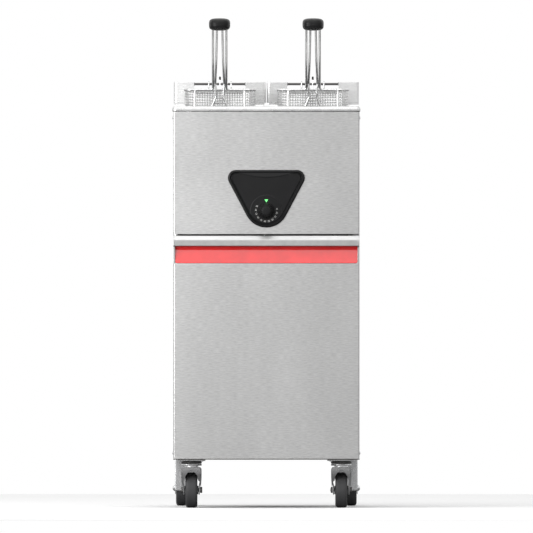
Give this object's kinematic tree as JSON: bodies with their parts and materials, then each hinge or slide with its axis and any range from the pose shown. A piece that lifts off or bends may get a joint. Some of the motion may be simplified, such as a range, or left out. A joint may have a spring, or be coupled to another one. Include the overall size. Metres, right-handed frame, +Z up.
{
  "type": "deep fryer",
  "caption": "Free-standing electric deep fryer with hung wire baskets, thermostat knob, drain valve and bucket behind a hinged door, on castors.",
  "frame": {"origin": "on the floor under the middle of the object's box", "axes": "+Z up, the front with the door and knob faces -Y, +X to the right seen from the front"},
  "size_m": [0.4064, 0.644, 1.0526],
  "materials": {
    "cabinet_steel": "fine horizontal brushing",
    "polished_steel": "bright satin",
    "dark_steel": "dark oxidised",
    "zinc_plate": "bright zinc plate",
    "wire_chrome": "bright plated wire",
    "black_plastic": "fine moulded texture",
    "grey_plastic": "moulded",
    "tyre_rubber": "smooth tread",
    "red_trim": "high gloss",
    "lever_red": "dipped sleeve",
    "green_lens": "clear lens",
    "white_insulator": "matt"
  },
  "bodies": {
    "cabinet": {"base_pan": "cabinet_steel", "side_panel_left": "cabinet_steel", "side_panel_right": "cabinet_steel", "back_panel": "cabinet_steel", "front_panel": "cabinet_steel", "compartment_floor": "cabinet_steel", "deck_top": "polished_steel", "fry_tank": "polished_steel", "upstand_left": "cabinet_steel", "upstand_right": "cabinet_steel", "hanger_bar_left": "dark_steel", "hanger_bar_right": "dark_steel", "heating_element": "dark_steel", "thermostat_bulb": "polished_steel", "drain_pipe": "polished_steel", "drain_valve": "zinc_plate", "oil_bucket": "cabinet_steel", "bucket_filter": "polished_steel", "hinge_pin_lower": "zinc_plate", "hinge_pin_upper": "zinc_plate", "door_catch": "black_plastic", "control_bezel": "black_plastic", "indicator_lens": "green_lens", "thermostat": "white_insulator", "terminal_block": "white_insulator", "cable_gland": "black_plastic", "castor_left_plate": "zinc_plate", "castor_right_plate": "zinc_plate", "roller_left_bracket": "zinc_plate", "roller_right_bracket": "zinc_plate", "roller_left_axle": "zinc_plate", "roller_right_axle": "zinc_plate"},
    "door": {"door_panel": "cabinet_steel", "door_inner_skin": "cabinet_steel", "door_pull": "polished_steel", "red_strip": "red_trim"},
    "knob": {"control_knob": "black_plastic"},
    "drain_lever": {"drain_lever": "lever_red"},
    "basket_left": {"basket_left_mesh": "wire_chrome", "basket_left_rim": "wire_chrome", "basket_left_handle": "wire_chrome", "basket_left_grip": "black_plastic"},
    "basket_right": {"basket_right_mesh": "wire_chrome", "basket_right_rim": "wire_chrome", "basket_right_handle": "wire_chrome", "basket_right_grip": "black_plastic"},
    "castor_left_swivel": {"castor_left_fork": "zinc_plate", "castor_left_axle": "zinc_plate"},
    "castor_left_wheel": {"castor_left_tyre": "tyre_rubber", "castor_left_hub": "grey_plastic"},
    "castor_right_swivel": {"castor_right_fork": "zinc_plate", "castor_right_axle": "zinc_plate"},
    "castor_right_wheel": {"castor_right_tyre": "tyre_rubber", "castor_right_hub": "grey_plastic"},
    "roller_left_wheel": {"roller_left_tyre": "tyre_rubber", "roller_left_hub": "grey_plastic"},
    "roller_right_wheel": {"roller_right_tyre": "tyre_rubber", "roller_right_hub": "grey_plastic"}
  },
  "joints": [
    {"name": "door_hinge", "type": "hinge", "parent": "cabinet", "child": "door", "pos_m": [-0.1945, -0.288, 0.1055], "axis": [0, 0, -1], "range_deg": [0, 105]},
    {"name": "knob_turn", "type": "hinge", "parent": "cabinet", "child": "knob", "pos_m": [0, -0.3028, 0.638], "axis": [0, 1, 0], "range_deg": [0, 300]},
    {"name": "drain_lever_turn", "type": "hinge", "parent": "cabinet", "child": "drain_lever", "pos_m": [0, -0.1325, 0.565], "axis": [0, 0, -1], "range_deg": [0, 90]},
    {"name": "basket_left_lift", "type": "slide", "parent": "cabinet", "child": "basket_left", "axis": [0, 0, 1], "range_m": [0, 0.25]},
    {"name": "basket_right_lift", "type": "slide", "parent": "cabinet", "child": "basket_right", "axis": [0, 0, 1], "range_m": [0, 0.25]},
    {"name": "castor_left_swivel_turn", "type": "hinge", "parent": "cabinet", "child": "castor_left_swivel", "pos_m": [-0.161, -0.235, 0.0876], "axis": [0, 0, 1], "continuous": true},
    {"name": "castor_left_wheel_spin", "type": "hinge", "parent": "castor_left_swivel", "child": "castor_left_wheel", "pos_m": [-0.161, -0.207, 0.038], "axis": [1, 0, 0], "continuous": true},
    {"name": "castor_right_swivel_turn", "type": "hinge", "parent": "cabinet", "child": "castor_right_swivel", "pos_m": [0.161, -0.235, 0.0876], "axis": [0, 0, 1], "continuous": true},
    {"name": "castor_right_wheel_spin", "type": "hinge", "parent": "castor_right_swivel", "child": "castor_right_wheel", "pos_m": [0.161, -0.207, 0.038], "axis": [1, 0, 0], "continuous": true},
    {"name": "roller_left_wheel_spin", "type": "hinge", "parent": "cabinet", "child": "roller_left_wheel", "pos_m": [-0.1841, 0.25, 0.038], "axis": [1, 0, 0], "continuous": true},
    {"name": "roller_right_wheel_spin", "type": "hinge", "parent": "cabinet", "child": "roller_right_wheel", "pos_m": [0.1841, 0.25, 0.038], "axis": [1, 0, 0], "continuous": true}
  ]
}
